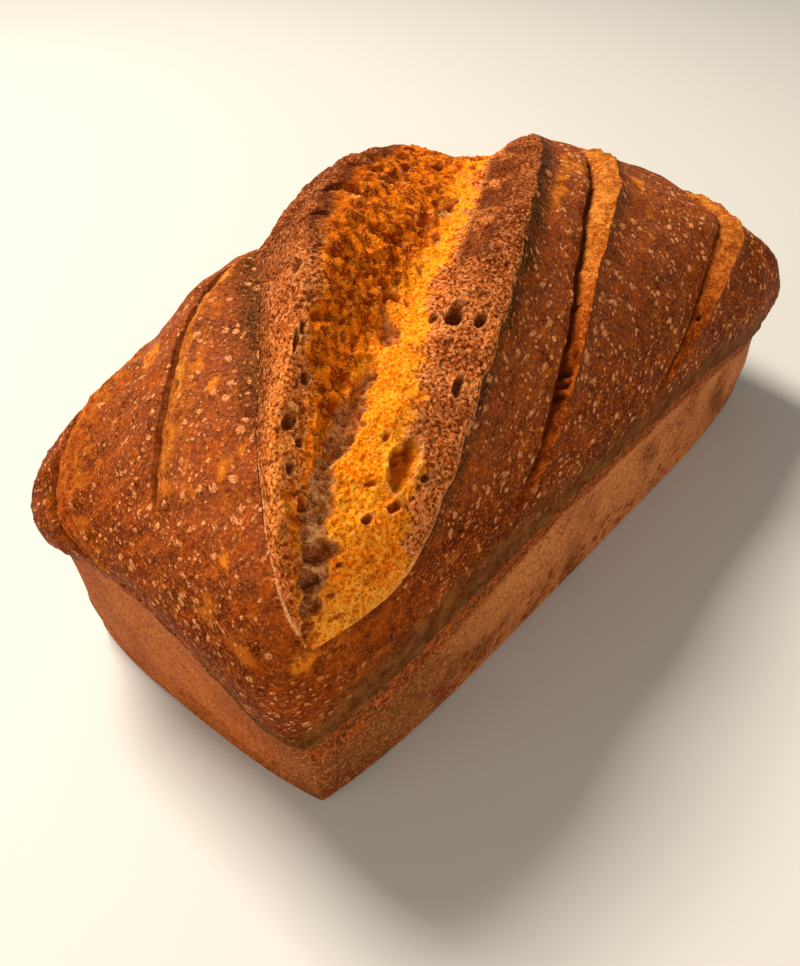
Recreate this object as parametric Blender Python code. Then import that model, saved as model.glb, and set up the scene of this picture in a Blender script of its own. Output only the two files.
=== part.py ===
"""A tin loaf, uncut: a bread baked in a long tapered tin, its top slashed on the skew and burst open.

The tin leaves a flat base and four walls that lean outwards and bow a little between their corners,
up to a lip that the dough passed on its way up. Above the lip the loaf is a dome. The dome is worked
out on a flat sheet first, s along the loaf and t across it, both running from -1 to 1, and the sheet
carries the lines of the slashes. Lengths are metres, the loaf lies along X and its base is in the
plane z = 0.
"""
import math

import bmesh
import bpy
import numpy as np
from mathutils import Vector
from mathutils.geometry import delaunay_2d_cdt

MM = 0.001

# The tin: half sizes are taken at the reference height, the walls lean out by TAPER
HALF_LENGTH = 123.8 * MM
HALF_WIDTH = 49.55 * MM
REFERENCE_HEIGHT = 41.8 * MM
TAPER = 0.092
CORNER_POWER = 10.8
CORNER_PINCH = 1.2 * MM
PINCH_REACH = 13.0 * MM
# How the walls bow between sharp corners at the base, and how the front lip draws in at its ends
END_FULL = 1.0044
END_TILT = 0.0214
END_BOW = 0.0397
END_POWER = 3
LONG_FULL = 1.036
LONG_BOW = 0.130
LONG_POWER = 5
CRISP_RAMP = 1.5
NIP = 0.07
NIP_POWER = 6
BASE_ROUND = 1.6 * MM
BOX_CENTRE = (-1.762 * MM, -0.150 * MM)

# The lip: low at the corners, higher in the middle of the long sides and highest at the two ends
LIP_CORNER = 31.0 * MM
LIP_LONG_RISE = 13.5 * MM
LIP_END_RISE = 18.6 * MM
LIP_WAVE = 1.0 * MM

# The dome: its height above the lip varies along the loaf and across it
OVERHANG = math.radians(11.9)
DOME_HEIGHT = 42.2 * MM
DOME_SLOPE = -25.9 * MM
DOME_ARCH = -11.3 * MM
DOME_TAIL = 30.4 * MM
DOME_TILT = 6.0 * MM
DOME_TWIST = 37.9 * MM
END_LEAN = 8.5 * MM
END_DRAW = 7.0 * MM
DRAW_START = 0.3
DRAW_LENGTH = 0.6
DRAW_SIDE = 0.2
DRAW_WIDTH = 1.2

# Broad swells and dents of the dome: millimetres along the cut, across it, reach and rise
SWELLS = ((96, -57, 13, -2.8), (107, -42, 9, 2.0), (151, 3, 13, -3.4), (178, 37, 8, -2.5),
          (51, -106, 22, 2.4))

# The sheet: its half sizes, and the frame of the slashes, which start at FIRST_CUT and run at SKEW
SHEET_X = 150.0 * MM
SHEET_Y = 100.0 * MM
SKEW = math.radians(40.4)
FIRST_CUT = (-97.66 * MM, -64.07 * MM)
SHEET_COLUMNS = 68
SHEET_ROWS = 46
LINE_STEP = 3.6 * MM
LINE_CLEARANCE = 1.9 * MM
WALL_ROWS = 4

# The burst: millimetres along the cut, then across it, of its four lines
BURST_LENGTH = 192.0
BURST_LEFT = ((0, 0), (8, -1.8), (17, -5.5), (28, -10.6), (40, -15.6), (54, -19.6), (68, -24), (90, -29.5),
              (112, -34), (150, -27), (178, -10), (192, 0))
BURST_SHOULDER = ((0, 0.5), (28, -5), (50, -10), (70, -12), (110, -15), (150, -12), (178, -4), (192, 0.5))
BURST_VALLEY = ((0, 1), (14, 2), (38, 3), (60, 3.5), (88, 7), (130, 7), (170, 4), (192, 1))
BURST_RIDGE = ((0, 2), (6, 9), (14, 15), (28, 18.5), (54, 21.5), (75, 23), (110, 23), (150, 18),
               (178, 9), (192, 2))
SHOULDER_RISE = 11.9
VALLEY_RISE = 0.2
RIDGE_RISE = 4.6
EDGE_RISE = -1.0
PUFF_RISE = 1.4
PUFF_REACH = (12.0, 26.0)
RIDGE_FALL = (5.0, 14.0)

# The four lesser slashes: the crack, the two ends, the width of the torn face, its depth and its lip
SLASHES = (
    dict(crack=((0, -88), (25, -88), (54, -86), (67, -80), (77, -74), (95, -66)), ends=(8, 110),
         width=((8, 4), (35, 9), (64, 10), (82, 8.5), (110, 5)), depth=-1.2, lip=1.2),
    dict(crack=((20, -44), (34, -45.2), (60, -45.2), (80, -44.2), (97, -40.5), (125, -33)), ends=(30, 140),
         width=((30, 3), (50, 5.5), (65, 5.5), (85, 4), (140, 3)), depth=-1.8, lip=1.0),
    dict(crack=((20, 42), (40, 43.8), (64, 42.4), (95, 39), (119, 37), (150, 35), (190, 26)), ends=(20, 194),
         width=((20, 2.2), (45, 1.9), (75, 1.8), (90, 2.8), (107, 4.5), (144, 6.2), (190, 6.5)),
         depth=-3.4, lip=2.2),
    dict(crack=((70, 86), (92, 84), (108, 81), (124, 77.5), (141, 76), (175, 73)), ends=(72, 180),
         width=((72, 2), (85, 3.6), (100, 5.5), (115, 8), (125, 8.5), (140, 6.5), (175, 6)),
         depth=-1.8, lip=2.0),
)
CRACK_SIDE = 0.8
LIP_FALL = 7.0
EDGE_CALM = 0.12


def smooth(x):
    """An even ramp from 0 to 1 with flat ends."""
    x = np.clip(x, 0.0, 1.0)
    return x * x * (3.0 - 2.0 * x)


def through(x, knots):
    """A smooth curve through knots of (position, value)."""
    at = np.array([k[0] for k in knots], float)
    value = np.array([k[1] for k in knots], float)
    slope = np.gradient(value, at)
    x = np.clip(x, at[0], at[-1])
    i = np.clip(np.searchsorted(at, x, side="right") - 1, 0, len(at) - 2)
    span = at[i + 1] - at[i]
    u = (x - at[i]) / span
    rise = value[i] + (value[i + 1] - value[i]) * (3 * u**2 - 2 * u**3)
    bend = (u**3 - 2 * u**2 + u) * span * slope[i] + (u**3 - u**2) * span * slope[i + 1]
    return rise + bend


def straight(x, knots):
    """A profile of straight runs; positions and values may vary from point to point."""
    out = np.zeros_like(x)
    for (x0, y0), (x1, y1) in zip(knots[:-1], knots[1:]):
        f = np.clip((x - x0) / np.maximum(x1 - x0, 1e-6), 0.0, 1.0)
        out = np.where((x > x0) & (x <= x1), y0 + (y1 - y0) * f, out)
    return out


def arch(x, power):
    """0 at both ends of 0 to 1 and 1 in the middle."""
    return np.maximum(np.sin(math.pi * np.clip(x, 0.0, 1.0)), 0.0) ** power


def squircle(s, t):
    """The rounded plan of the tin: how far a point of the square lies outside the unit outline."""
    return (np.abs(s) ** CORNER_POWER + np.abs(t) ** CORNER_POWER + 1e-30) ** (1.0 / CORNER_POWER)


def lip_height(s, t):
    """Height at which the dome leaves the tin wall."""
    wave = LIP_WAVE * (np.sin(5.3 * s + 2.1 * t + 0.6) + 0.7 * np.sin(11.0 * s - 4.0 * t))
    return LIP_CORNER + LIP_LONG_RISE * (1 - s * s) + LIP_END_RISE * (1 - t * t) + wave * (1 - s * s * t * t)


def pinch(s, t):
    """The corner of the lip, which the tin pulls out along the diagonal."""
    gap = ((1 - np.abs(s)) * SHEET_X) ** 2 + ((1 - np.abs(t)) * SHEET_Y) ** 2
    return CORNER_PINCH * np.exp(-gap / PINCH_REACH**2)


def draw(s, t):
    """How far the right front corner of the loaf drew in as it baked."""
    return END_DRAW * smooth((s - DRAW_START) / DRAW_LENGTH) * smooth((DRAW_SIDE - t) / DRAW_WIDTH)


def nip(s, t):
    """What is left of the width where the front side narrows towards its two ends."""
    return 1 - NIP * np.abs(s) ** NIP_POWER * smooth(0.5 - t)


def plain_dome(s, t):
    """The dome before it is slashed."""
    level = np.sqrt(np.maximum(s * s + t * t - s * s * t * t, 1e-12))
    angle = math.pi / 2 - level * (math.pi / 2 + OVERHANG)
    reach = np.cos(angle) / math.cos(OVERHANG)
    lift = (np.sin(angle) + math.sin(OVERHANG)) / (1 + math.sin(OVERHANG))
    square = smooth(level)
    plan = reach * ((1 - square) / level + square / squircle(s, t))
    height = DOME_HEIGHT + DOME_SLOPE * s + DOME_ARCH * s**2 + DOME_TAIL * s**3
    height = height + DOME_TILT * t + DOME_TWIST * s * t
    lean = END_LEAN * smooth(s / 0.9) * smooth(2.0 * lift)
    out = pinch(s, t) * (1 - smooth(6 * lift))
    return np.stack([HALF_LENGTH * s * plan - lean - draw(s, t) + out * np.sign(s),
                     HALF_WIDTH * t * plan * nip(s, t) + out * np.sign(t),
                     lip_height(s, t) + height * lift], -1)


def along_across(s, t):
    """Place on the sheet, in millimetres along the burst and across it."""
    dx = (s * SHEET_X - FIRST_CUT[0]) / MM
    dy = (t * SHEET_Y - FIRST_CUT[1]) / MM
    return dx * math.cos(SKEW) + dy * math.sin(SKEW), dx * math.sin(SKEW) - dy * math.cos(SKEW)


def on_sheet(along, across):
    """The way back: s and t of a place given along and across the burst."""
    x = FIRST_CUT[0] + (along * math.cos(SKEW) + across * math.sin(SKEW)) * MM
    y = FIRST_CUT[1] + (along * math.sin(SKEW) - across * math.cos(SKEW)) * MM
    return x / SHEET_X, y / SHEET_Y


def burst_relief(along, across):
    """The burst: a raised left shoulder, a torn valley and a right ridge, from crust edge to crust."""
    left, shoulder, valley, ridge = (through(along, line) for line in
                                     (BURST_LEFT, BURST_SHOULDER, BURST_VALLEY, BURST_RIDGE))
    low = arch(along / BURST_LENGTH, 0.5)
    high = arch(along / BURST_LENGTH, 1.0)
    flank = 0.35 * SHOULDER_RISE + 0.65 * VALLEY_RISE
    face = 0.4 * VALLEY_RISE + 0.6 * RIDGE_RISE
    relief = straight(across, [
        (left - PUFF_REACH[1], 0 * low),
        (left - PUFF_REACH[0], PUFF_RISE * high),
        (left, EDGE_RISE * low),
        (0.3 * left + 0.7 * shoulder, 0.85 * SHOULDER_RISE * high),
        (shoulder, SHOULDER_RISE * high),
        (0.5 * (shoulder + valley), flank * high),
        (valley - 0.5, VALLEY_RISE * low),
        (valley + 1.5, VALLEY_RISE * low),
        (0.5 * (valley + ridge), face * low),
        (ridge, RIDGE_RISE * low),
        (ridge + RIDGE_FALL[0], 0.2 * RIDGE_RISE * low),
        (ridge + RIDGE_FALL[1], 0 * low)])
    return np.where((along > 0) & (along < BURST_LENGTH), relief, 0.0)


def slash_relief(along, across, cut):
    """One lesser slash: a crack, then a torn face that climbs to a lip of crust."""
    start, end = cut["ends"]
    strength = arch((along - start) / (end - start), 0.6)
    width = through(along, cut["width"])
    zero = 0 * along
    return straight(across - through(along, cut["crack"]), [
        (zero - LIP_FALL, zero),
        (zero - CRACK_SIDE, 0.3 * cut["depth"] * strength),
        (zero, cut["depth"] * strength),
        (width, cut["lip"] * strength),
        (width + LIP_FALL, zero)])


def swell(along, across):
    """The unevenness of the dome between and beside the cuts, in millimetres."""
    return sum(rise * np.exp(-((along - x) ** 2 + (across - y) ** 2) / reach**2)
               for x, y, reach, rise in SWELLS)


def dome(s, t):
    """The finished dome: the plain one moved along its normal by the burst and the slashes."""
    step = 1e-3
    tangent_s = plain_dome(s + step, t) - plain_dome(s - step, t)
    tangent_t = plain_dome(s, t + step) - plain_dome(s, t - step)
    normal = np.cross(tangent_s, tangent_t)
    normal /= np.maximum(np.linalg.norm(normal, axis=-1, keepdims=True), 1e-12)
    along, across = along_across(s, t)
    relief = burst_relief(along, across) + sum(slash_relief(along, across, cut) for cut in SLASHES)
    relief = relief + swell(along, across)
    calm = smooth((1 - np.maximum(np.abs(s), np.abs(t))) / EDGE_CALM)
    return plain_dome(s, t) + normal * (relief * calm * MM)[..., None]


def tin_wall(s, t, z):
    """A point of the tin wall at height z, under the point s, t of the sheet's edge.

    The corners are soft at the lip. Lower down the walls bow between sharp corners.
    """
    crisp = smooth(CRISP_RAMP * (1 - z / lip_height(s, t)))
    out = pinch(s, t) * (1 - crisp)
    shrink = TAPER * (REFERENCE_HEIGHT - z)
    soft = 1 / squircle(s, t)
    end_base = END_FULL * (1 - END_TILT * s * t - END_BOW * np.abs(t) ** END_POWER)
    side_base = LONG_FULL - LONG_BOW * np.abs(s) ** LONG_POWER
    end = soft + (end_base - soft) * crisp
    side = soft * nip(s, t) + (side_base - soft * nip(s, t)) * crisp
    return np.stack([(HALF_LENGTH - shrink) * s * end + out * np.sign(s) - draw(s, t),
                     (HALF_WIDTH - shrink) * t * side + out * np.sign(t), z + 0 * s], -1)


def burst_lines():
    """Every line along which the burst's profile turns, the sharpest first."""
    along = np.linspace(3.0, BURST_LENGTH - 3.0, int(BURST_LENGTH * MM / LINE_STEP))
    left, shoulder, valley, ridge = (through(along, line) for line in
                                     (BURST_LEFT, BURST_SHOULDER, BURST_VALLEY, BURST_RIDGE))
    turns = (ridge, valley, left, ridge + RIDGE_FALL[0], 0.3 * left + 0.7 * shoulder, shoulder,
             0.5 * (shoulder + valley), 0.5 * (valley + ridge), left - PUFF_REACH[0],
             ridge + RIDGE_FALL[1], left - PUFF_REACH[1])
    return [on_sheet(along, across) for across in turns]


def slash_lines(cut):
    """The same for one slash."""
    start, end = cut["ends"]
    along = np.linspace(start + 2.0, end - 2.0, int((end - start) * MM / LINE_STEP))
    crack = through(along, cut["crack"])
    lip = crack + through(along, cut["width"])
    turns = (lip, crack, crack - CRACK_SIDE, lip + LIP_FALL, crack - LIP_FALL)
    return [on_sheet(along, across) for across in turns]


def flat_sheet():
    """The sheet with its lines worked in: points as s and t, then triangles."""
    inside = 0.975
    points = [(2.0, 2.0)]
    edges = []
    for s, t in burst_lines() + [line for cut in SLASHES for line in slash_lines(cut)]:
        drawn = np.array(points)
        last = None
        for x, y, within in zip(s * SHEET_X, t * SHEET_Y, np.maximum(np.abs(s), np.abs(t)) < inside):
            clear = np.hypot(drawn[:, 0] - x, drawn[:, 1] - y).min() > 0.38 * LINE_CLEARANCE
            if within and clear:
                if last is not None:
                    edges.append((last, len(points)))
                last = len(points)
                points.append((x, y))
            else:
                last = None
    drawn = np.array(points)
    for u in np.linspace(-1, 1, SHEET_COLUMNS + 1):
        for v in np.linspace(-1, 1, SHEET_ROWS + 1):
            x, y = u * SHEET_X, v * SHEET_Y
            rim = max(abs(u), abs(v)) > 0.999
            if rim or np.hypot(drawn[:, 0] - x, drawn[:, 1] - y).min() > LINE_CLEARANCE:
                points.append((x, y))
    edges = [(a - 1, b - 1) for a, b in edges]
    found, _, triangles, *_ = delaunay_2d_cdt([Vector(p) for p in points[1:]], edges, [], 0, 1e-6)
    sheet = np.array([(v.x / SHEET_X, v.y / SHEET_Y) for v in found])
    return sheet, [tuple(t) for t in triangles]


def edge_loop(sheet):
    """Numbers of the points on the sheet's edge, in order round it."""
    rim = [i for i, (s, t) in enumerate(sheet) if max(abs(s), abs(t)) > 0.9999]
    key = {}
    for i in rim:
        s, t = sheet[i]
        if t < -0.9999:
            key[i] = s
        elif s > 0.9999:
            key[i] = 2 + t
        elif t > 0.9999:
            key[i] = 4 - s
        else:
            key[i] = 6 - t
    return sorted(rim, key=key.get)


def loaf_mesh():
    """Dome, four tin walls and base as one closed surface, its box centred on the origin in plan."""
    sheet, triangles = flat_sheet()
    bm = bmesh.new()
    top = [bm.verts.new(p) for p in dome(sheet[:, 0], sheet[:, 1])]
    for a, b, c in triangles:
        bm.faces.new((top[a], top[b], top[c]))
    loop = edge_loop(sheet)
    s, t = sheet[loop, 0], sheet[loop, 1]
    lip = lip_height(s, t)
    upper = [top[i] for i in loop]
    heights = [BASE_ROUND + (lip - BASE_ROUND) * (1 - k / WALL_ROWS) for k in range(1, WALL_ROWS + 1)]
    rings = [tin_wall(s, t, z) for z in heights]
    middle = tin_wall(s, t, 0 * s + 0.3 * BASE_ROUND)
    middle[:, :2] *= 1 - 0.3 * BASE_ROUND / HALF_WIDTH
    foot = tin_wall(s, t, 0 * s)
    foot[:, :2] *= 1 - BASE_ROUND / HALF_WIDTH
    for ring in rings + [middle, foot]:
        lower = [bm.verts.new(p) for p in ring]
        for i in range(len(loop)):
            j = (i + 1) % len(loop)
            bm.faces.new((upper[i], lower[i], lower[j], upper[j]))
        upper = lower
    bm.faces.new(upper[::-1])
    bmesh.ops.recalc_face_normals(bm, faces=bm.faces[:])
    bmesh.ops.translate(bm, verts=bm.verts[:], vec=(-BOX_CENTRE[0], -BOX_CENTRE[1], 0.0))
    mesh = bpy.data.meshes.new("loaf")
    bm.to_mesh(mesh)
    bm.free()
    return mesh


for old in list(bpy.data.objects):
    bpy.data.objects.remove(old, do_unlink=True)

loaf = bpy.data.objects.new("loaf", loaf_mesh())
bpy.context.scene.collection.objects.link(loaf)
for polygon in loaf.data.polygons:
    polygon.use_smooth = True
loaf.data.set_sharp_from_angle(angle=math.radians(28))

crust = bpy.data.materials.new("crust")
crust.use_nodes = True
shader = crust.node_tree.nodes["Principled BSDF"]
shader.inputs["Base Color"].default_value = (0.34, 0.115, 0.03, 1.0)
shader.inputs["Roughness"].default_value = 0.55
loaf.data.materials.append(crust)
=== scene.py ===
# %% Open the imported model
import math

import bpy
import numpy as np
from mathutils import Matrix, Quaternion, Vector, noise


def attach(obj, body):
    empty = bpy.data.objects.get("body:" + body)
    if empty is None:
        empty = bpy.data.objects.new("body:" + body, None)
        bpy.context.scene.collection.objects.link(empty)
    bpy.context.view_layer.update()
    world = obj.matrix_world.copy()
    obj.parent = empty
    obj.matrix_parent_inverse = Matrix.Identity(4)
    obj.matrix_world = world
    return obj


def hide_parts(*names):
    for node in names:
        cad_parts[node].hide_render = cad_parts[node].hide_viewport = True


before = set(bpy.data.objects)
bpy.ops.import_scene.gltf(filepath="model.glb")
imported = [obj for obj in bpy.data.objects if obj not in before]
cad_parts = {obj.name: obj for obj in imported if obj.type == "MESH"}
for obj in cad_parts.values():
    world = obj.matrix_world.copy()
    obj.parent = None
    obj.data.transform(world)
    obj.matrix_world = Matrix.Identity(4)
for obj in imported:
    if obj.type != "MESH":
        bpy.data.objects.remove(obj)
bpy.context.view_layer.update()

MM = 0.001

# %% [markdown]
# A tin loaf is one piece of bread, but its surface has four finishes: the paler crust that baked
# against the tin, the dark crust of the dome, the torn crumb of the main burst, and the thin torn
# faces of the lesser slashes. It is modelled as four pieces, each laid over the solid loaf:
# the tin-baked shell, the crust left of the burst, the crust right of it, and the crumb between.
# The first step is the view: a camera close to one corner and well above the loaf, with a fairly
# short lens, so the near corner looms and the far end shrinks.

# %% Camera and floor
CAMERA_PLACE = Vector((-0.16798, -0.11682, 0.18570))
CAMERA_AIM = Vector((0.55257, 0.49445, -0.67096))
CAMERA_ROLL = math.radians(-0.19)
CAMERA_LENS = 29.81
SENSOR = 36.0
FLOOR_SIZE = 6.0
FLOOR_DROP = 0.3 * MM

bpy.ops.object.select_all(action="DESELECT")
bpy.ops.object.camera_add(location=CAMERA_PLACE)
camera = bpy.context.object
camera.name = "camera"
camera.rotation_mode = "QUATERNION"
camera.rotation_quaternion = (CAMERA_AIM.to_track_quat("-Z", "Y")
                              @ Quaternion((0, 0, 1), CAMERA_ROLL))
camera.data.lens = CAMERA_LENS
camera.data.sensor_width = SENSOR
camera.data.clip_start = 0.01
bpy.context.scene.camera = camera

bpy.ops.mesh.primitive_plane_add(size=FLOOR_SIZE, location=(0, 0, -FLOOR_DROP))
floor = bpy.context.object
bpy.ops.object.transform_apply(location=True, rotation=False, scale=False)
floor.name = "floor"
print("camera", round(CAMERA_PLACE.length / MM), "mm from the loaf's foot")

# %% [markdown]
# The main light comes from behind the loaf and a little to the left. It rakes over the dome, shows
# every blister and lights the right wall of the burst. Large soft lamps do the same here, and a wide
# one in front keeps the tin-baked walls, which face the camera, from going dark. An even, weak light
# from all round fills the rest.

# %% Light
LAMP_TARGET = Vector((0, 0, 0.05))
ROOM_COLOUR = (1.0, 0.97, 0.93, 1.0)
ROOM_POWER = 0.20


def soft_lamp(name, place, size, power, colour):
    """A square area lamp that looks at the loaf."""
    bpy.ops.object.light_add(type="AREA", location=place)
    lamp = bpy.context.object
    lamp.name = name
    lamp.rotation_mode = "QUATERNION"
    view = LAMP_TARGET - Vector(place)
    lamp.rotation_quaternion = view.to_track_quat("-Z", "Y")
    lamp.data.size = size
    lamp.data.energy = power
    lamp.data.color = colour
    print(name, "lamp", round(view.length, 2), "m away")


soft_lamp("window", (-0.05, 0.74, 1.18), size=0.45, power=28.0, colour=(1.0, 0.93, 0.82))
soft_lamp("side", (-1.20, 0.25, 0.75), size=0.8, power=3.6, colour=(1.0, 0.92, 0.80))
soft_lamp("front", (-0.75, -1.05, 0.60), size=1.2, power=8.0, colour=(1.0, 0.92, 0.80))
world = bpy.data.worlds.new("room")
world.use_nodes = True
world.node_tree.nodes["Background"].inputs["Color"].default_value = ROOM_COLOUR
world.node_tree.nodes["Background"].inputs["Strength"].default_value = ROOM_POWER
bpy.context.scene.world = world
bpy.context.scene.view_settings.view_transform = "Standard"

# %% [markdown]
# Every piece follows the one form of the loaf, so that form comes first. The dome is worked out on
# a flat sheet, s along the loaf and t across it, each from -1 to 1, with the lines of the slashes
# drawn on the sheet. The sizes are those of the solid loaf, so the pieces lie on it.

# %% Sizes of the tin, the lip and the dome
HALF_LENGTH = 123.8 * MM
HALF_WIDTH = 49.55 * MM
REFERENCE_HEIGHT = 41.8 * MM
TAPER = 0.092
CORNER_POWER = 10.8
CORNER_PINCH = 1.2 * MM
PINCH_REACH = 13.0 * MM
END_FULL = 1.0044
END_TILT = 0.0214
END_BOW = 0.027
END_POWER = 3
LONG_FULL = 1.036
LONG_BOW = 0.110
LONG_POWER = 5
CRISP_RAMP = 1.5
NIP = 0.07
NIP_POWER = 6
BASE_ROUND = 1.6 * MM
BOX_CENTRE = (-1.762 * MM, -0.150 * MM)
LIP_CORNER = 31.0 * MM
LIP_LONG_RISE = 13.5 * MM
LIP_END_RISE = 18.6 * MM
LIP_WAVE = 1.0 * MM
LIP_RIPPLE = 0.35 * MM
OVERHANG = math.radians(11.9)
DOME_HEIGHT = 42.2 * MM
DOME_SLOPE = -25.9 * MM
DOME_ARCH = -11.3 * MM
DOME_TAIL = 30.4 * MM
DOME_TILT = 6.0 * MM
DOME_TWIST = 37.9 * MM
END_LEAN = 8.5 * MM
LEAN_END = 0.9
END_DRAW = 7.0 * MM
DRAW_START = 0.3
DRAW_LENGTH = 0.6
DRAW_SIDE = 0.2
DRAW_WIDTH = 1.2
SHEET_X = 150.0 * MM
SHEET_Y = 100.0 * MM
SKEW = math.radians(40.4)
FIRST_CUT = (-97.66 * MM, -64.07 * MM)
EDGE_CALM = 0.12

# %% Curves and ramps
def smooth(x):
    """An even ramp from 0 to 1 with flat ends."""
    x = np.clip(x, 0.0, 1.0)
    return x * x * (3.0 - 2.0 * x)


def between(value, low, high):
    """An even ramp from 0 at low to 1 at high."""
    return smooth((value - low) / (high - low))


def within(value, full, none):
    """The ramp the other way: 1 up to full, 0 from none on."""
    return 1 - between(value, full, none)


def most(*masks):
    """The greatest of several masks at each point."""
    return np.maximum.reduce(masks)


def arch(x, power):
    """0 at both ends of 0 to 1 and 1 in the middle."""
    return np.maximum(np.sin(math.pi * np.clip(x, 0.0, 1.0)), 0.0) ** power


def through(x, knots):
    """A smooth curve through knots of (position, value)."""
    at = np.array([k[0] for k in knots], float)
    value = np.array([k[1] for k in knots], float)
    slope = np.gradient(value, at)
    x = np.clip(x, at[0], at[-1])
    i = np.clip(np.searchsorted(at, x, side="right") - 1, 0, len(at) - 2)
    span = at[i + 1] - at[i]
    u = (x - at[i]) / span
    rise = value[i] + (value[i + 1] - value[i]) * (3 * u**2 - 2 * u**3)
    bend = (u**3 - 2 * u**2 + u) * span * slope[i] + (u**3 - u**2) * span * slope[i + 1]
    return rise + bend


def bent(x, knots):
    """A soft profile through knots whose positions and values vary from point to point."""
    out = np.zeros_like(x)
    count = len(knots)
    slopes = []
    for i in range(count):
        (x0, y0), (x1, y1) = knots[max(i - 1, 0)], knots[min(i + 1, count - 1)]
        slopes.append((y1 - y0) / np.maximum(x1 - x0, 0.05))
    for i in range(count - 1):
        (x0, y0), (x1, y1) = knots[i], knots[i + 1]
        span = np.maximum(x1 - x0, 1e-6)
        u = np.clip((x - x0) / span, 0.0, 1.0)
        value = (y0 + (y1 - y0) * (3 * u**2 - 2 * u**3)
                 + (u**3 - 2 * u**2 + u) * span * slopes[i] + (u**3 - u**2) * span * slopes[i + 1])
        out = np.where((x > x0) & (x <= x1), value, out)
    return out

# %% The tin's outline, the lip and the plain dome
def squircle(s, t):
    """The rounded plan of the tin: how far a point of the square lies outside the unit outline."""
    return (np.abs(s) ** CORNER_POWER + np.abs(t) ** CORNER_POWER + 1e-30) ** (1.0 / CORNER_POWER)


def lip_height(s, t):
    """Height at which the dome leaves the tin wall."""
    wave = LIP_WAVE * (np.sin(5.3 * s + 2.1 * t + 0.6) + 0.7 * np.sin(11.0 * s - 4.0 * t))
    small = LIP_RIPPLE * (np.sin(31.0 * s + 5.0 * t) + np.sin(23.0 * t - 9.0 * s)
                          + np.sin(57.0 * s + 41.0 * t))
    return (LIP_CORNER + LIP_LONG_RISE * (1 - s * s) + LIP_END_RISE * (1 - t * t)
            + (wave + small) * (1 - s * s * t * t))


def pinch(s, t):
    """The corner of the lip, which the tin pulls out along the diagonal."""
    gap = ((1 - np.abs(s)) * SHEET_X) ** 2 + ((1 - np.abs(t)) * SHEET_Y) ** 2
    return CORNER_PINCH * np.exp(-gap / PINCH_REACH**2)


def draw(s, t):
    """How far the right front corner of the loaf drew in as it baked."""
    return END_DRAW * smooth((s - DRAW_START) / DRAW_LENGTH) * smooth((DRAW_SIDE - t) / DRAW_WIDTH)


def nip(s, t):
    """What is left of the width where the front side narrows towards its two ends."""
    return 1 - NIP * np.abs(s) ** NIP_POWER * smooth(0.5 - t)


def plain_dome(s, t):
    """The dome before it is slashed."""
    level = np.sqrt(np.maximum(s * s + t * t - s * s * t * t, 1e-12))
    angle = math.pi / 2 - level * (math.pi / 2 + OVERHANG)
    reach = np.cos(angle) / math.cos(OVERHANG)
    lift = (np.sin(angle) + math.sin(OVERHANG)) / (1 + math.sin(OVERHANG))
    square = smooth(level)
    plan = reach * ((1 - square) / level + square / squircle(s, t))
    height = DOME_HEIGHT + DOME_SLOPE * s + DOME_ARCH * s**2 + DOME_TAIL * s**3
    height = height + DOME_TILT * t + DOME_TWIST * s * t
    lean = END_LEAN * smooth(s / LEAN_END) * smooth(2.0 * lift)
    out = pinch(s, t) * (1 - smooth(6 * lift))
    x = HALF_LENGTH * s * plan - lean - draw(s, t) + out * np.sign(s) - BOX_CENTRE[0]
    y = HALF_WIDTH * t * plan * nip(s, t) + out * np.sign(t) - BOX_CENTRE[1]
    return np.stack([x, y, lip_height(s, t) + height * lift], -1)


def tin_wall(s, t, z):
    """A point of the tin wall at height z, under the point s, t of the sheet's edge.

    The corners are soft at the lip. Lower down the walls bow between sharp corners.
    """
    crisp = smooth(CRISP_RAMP * (1 - z / lip_height(s, t)))
    out = pinch(s, t) * (1 - crisp)
    shrink = TAPER * (REFERENCE_HEIGHT - z)
    soft = 1 / squircle(s, t)
    end_base = END_FULL * (1 - END_TILT * s * t - END_BOW * np.abs(t) ** END_POWER)
    side_base = LONG_FULL - LONG_BOW * np.abs(s) ** LONG_POWER
    end = soft + (end_base - soft) * crisp
    side = soft * nip(s, t) + (side_base - soft * nip(s, t)) * crisp
    x = (HALF_LENGTH - shrink) * s * end + out * np.sign(s) - draw(s, t) - BOX_CENTRE[0]
    y = (HALF_WIDTH - shrink) * t * side + out * np.sign(t) - BOX_CENTRE[1]
    return np.stack([x, y, z + 0 * s], -1)


for place in ((0, 0), (-1, 0), (0, -1), (-1, -1)):
    print("plain dome at", place, np.round(plain_dome(*map(np.float64, place)) / MM, 1))

# %% [markdown]
# The loaf was cut on the skew, so the slashes have a frame of their own: so many millimetres along
# the cut and so many across it. The main cut burst open as the loaf rose. Its profile climbs
# from the left edge of the crust to a swollen shoulder, drops into a torn valley, and climbs again
# to a sharp ridge of crust, which baked hard and fell away to the right. The lesser slashes are saw
# teeth: a crack, a narrow torn face, and a lip.

# %% The frame of the slashes
def on_sheet(along, across):
    """Place on the sheet, s and t, of a point so many millimetres along the burst and across it."""
    x = FIRST_CUT[0] + (along * math.cos(SKEW) + across * math.sin(SKEW)) * MM
    y = FIRST_CUT[1] + (along * math.sin(SKEW) - across * math.cos(SKEW)) * MM
    return x / SHEET_X, y / SHEET_Y


WANDER_STEPS = np.arange(-120.0, 340.0, 0.5)


def ragged(along, size, seed):
    """A small wander of a line, so that no edge runs like a ruler."""
    wander = [noise.noise(Vector((x / size, seed, 0.0))) for x in WANDER_STEPS]
    return np.interp(np.ravel(along), WANDER_STEPS, wander).reshape(np.shape(along))


BURST_LENGTH = 192.0
SEAM = 1.0
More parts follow.
